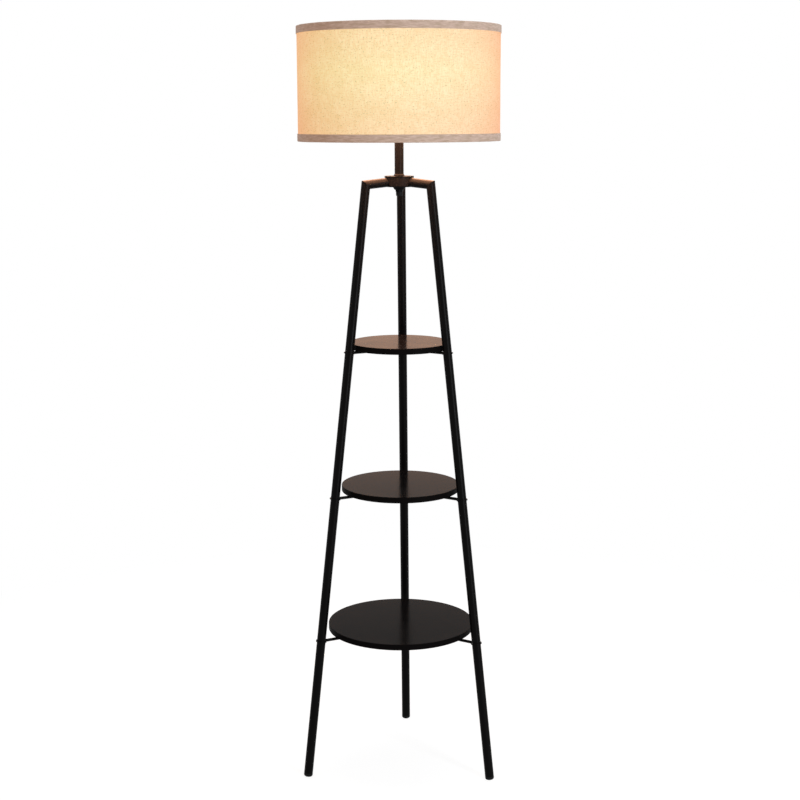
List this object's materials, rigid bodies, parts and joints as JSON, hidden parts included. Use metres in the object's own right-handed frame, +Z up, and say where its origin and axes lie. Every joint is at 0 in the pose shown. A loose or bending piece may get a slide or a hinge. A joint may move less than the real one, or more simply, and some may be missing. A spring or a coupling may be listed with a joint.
{
  "type": "shelf floor lamp",
  "caption": "Tripod floor lamp of black tube with round shelves between its legs and a linen drum shade over the hub.",
  "frame": {"origin": "on the floor, under the middle of the lamp's box; the lamp's own axis, through hub, pole and shade, stands 12.0 mm in front of it", "axes": "+Z up along the pole; +Y towards the rear leg; +X to the right, seen from the front"},
  "size_m": [0.3999, 0.424, 1.508],
  "materials": {
    "frame_paint": "black powder coat, satin",
    "shelf_board": "black laminated fibreboard, satin",
    "zinc_steel": "zinc plated",
    "foot_plastic": "moulded black, matt",
    "lampholder_resin": "moulded black resin",
    "lampholder_brass": "drawn brass",
    "bulb_metal": "nickel plated",
    "bulb_white": "white, satin",
    "bulb_frosted": "frosted diffuser, lit warm",
    "shade_linen": "linen weave lit from inside",
    "shade_liner": "translucent white sheet",
    "trim_fabric": "taupe linen tape",
    "wire_coating": "white powder coat"
  },
  "bodies": {
    "lamp": {"arm_inserts": "zinc_steel", "arm_left": "frame_paint", "arm_rear": "frame_paint", "arm_right": "frame_paint", "arm_screws": "zinc_steel", "cord_bushing": "foot_plastic", "foot_left": "foot_plastic", "foot_rear": "foot_plastic", "foot_right": "foot_plastic", "hub_body": "frame_paint", "hub_cover": "frame_paint", "hub_dome": "frame_paint", "hub_nipple": "zinc_steel", "hub_nut": "frame_paint", "joint_studs": "zinc_steel", "leg_inserts": "zinc_steel", "leg_left_bottom": "frame_paint", "leg_left_lower": "frame_paint", "leg_left_top": "frame_paint", "leg_left_upper": "frame_paint", "leg_rear_bottom": "frame_paint", "leg_rear_lower": "frame_paint", "leg_rear_top": "frame_paint", "leg_rear_upper": "frame_paint", "leg_right_bottom": "frame_paint", "leg_right_lower": "frame_paint", "leg_right_top": "frame_paint", "leg_right_upper": "frame_paint", "pole": "frame_paint", "pole_collar": "frame_paint", "pole_inserts": "zinc_steel", "shade_fabric": "shade_linen", "shade_fitter": "wire_coating", "shade_liner": "shade_liner", "shade_top_wire": "wire_coating", "shade_trim_bottom": "trim_fabric", "shade_trim_top": "trim_fabric", "shelf_bottom": "shelf_board", "shelf_bracket_bottom": "frame_paint", "shelf_bracket_middle": "frame_paint", "shelf_bracket_top": "frame_paint", "shelf_middle": "shelf_board", "shelf_screws_bottom": "zinc_steel", "shelf_screws_middle": "zinc_steel", "shelf_screws_top": "zinc_steel", "shelf_top": "shelf_board", "socket_body": "lampholder_resin", "socket_contact": "lampholder_brass", "socket_cup": "lampholder_resin", "socket_nipple": "zinc_steel", "socket_ring": "lampholder_resin", "socket_shell": "lampholder_brass"},
    "bulb": {"bulb_globe": "bulb_frosted", "bulb_body": "bulb_white", "bulb_cap": "bulb_metal", "bulb_insulator": "lampholder_resin", "bulb_contact": "bulb_metal"},
    "switch": {"switch_knob": "lampholder_resin", "switch_shaft": "zinc_steel"}
  },
  "joints": [
    {"name": "bulb_lift", "type": "slide", "parent": "lamp", "child": "bulb", "axis": [0, 0, 1], "range_m": [0, 0.2]},
    {"name": "switch_turn", "type": "hinge", "parent": "lamp", "child": "switch", "pos_m": [0.02, -0.01199, 1.32461], "axis": [1, 0, 0], "continuous": true}
  ]
}
